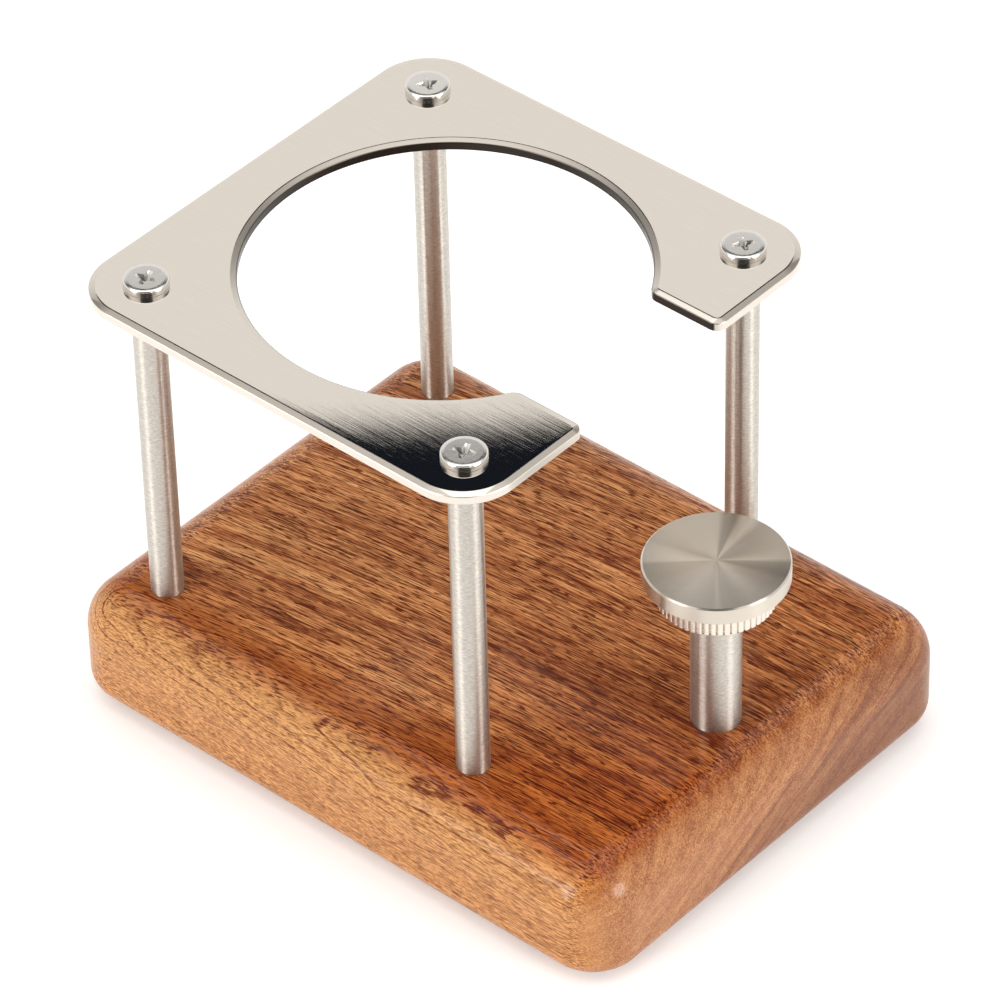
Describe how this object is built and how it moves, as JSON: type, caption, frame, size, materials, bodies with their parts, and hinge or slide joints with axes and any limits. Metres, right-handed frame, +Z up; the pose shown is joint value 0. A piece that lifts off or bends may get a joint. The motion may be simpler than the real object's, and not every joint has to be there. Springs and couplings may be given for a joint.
{
  "type": "tamping stand",
  "caption": "Wooden block on which posts carry a C-shaped steel ring plate for a portafilter, with a screw-adjusted rest for its handle.",
  "frame": {"origin": "on the surface that the feet stand on, below the middle of the wooden block", "axes": "+Z up, -Y towards the handle rest at the front, +Y along the block to the back posts, +X to the right seen from the front"},
  "size_m": [0.1, 0.13, 0.0974],
  "materials": {
    "wood": "satin varnished sapele-like hardwood with open pores",
    "post_steel": "satin, with a fine grain round the bar",
    "plate_steel": "bright, with a very fine straight grain and polished bevels",
    "screw_steel": "bright nickel plate",
    "turned_steel": "fine lathe-turned satin",
    "foot_rubber": "matt"
  },
  "bodies": {
    "root": {"base_block": "wood", "foot_front_left": "foot_rubber", "foot_front_right": "foot_rubber", "foot_back_left": "foot_rubber", "foot_back_right": "foot_rubber", "post_front_left": "post_steel", "post_front_right": "post_steel", "post_back_left": "post_steel", "post_back_right": "post_steel", "top_plate": "plate_steel", "plate_screw_front_left": "screw_steel", "plate_screw_front_right": "screw_steel", "plate_screw_back_left": "screw_steel", "plate_screw_back_right": "screw_steel", "base_washer_front_left": "screw_steel", "base_washer_front_right": "screw_steel", "base_washer_back_left": "screw_steel", "base_washer_back_right": "screw_steel", "base_screw_front_left": "screw_steel", "base_screw_front_right": "screw_steel", "base_screw_back_left": "screw_steel", "base_screw_back_right": "screw_steel", "barrel_washer": "screw_steel", "barrel_screw": "screw_steel", "rest_barrel": "post_steel"},
    "wheel": {"adjusting_wheel": "turned_steel"},
    "rest": {"rest_disc": "turned_steel", "rest_stud": "turned_steel"}
  },
  "joints": [
    {"name": "wheel_turn", "type": "hinge", "parent": "root", "child": "wheel", "pos_m": [0, -0.05, 0.0558], "axis": [0, 0, -1], "range_deg": [0, 3600]},
    {"name": "rest_lift", "type": "slide", "parent": "root", "child": "rest", "axis": [0, 0, 1], "range_m": [0, 0.01]}
  ],
  "couplings": [
    {"joint": "rest_lift", "follows": "wheel_turn", "m_per_rad": 0.00015915}
  ]
}
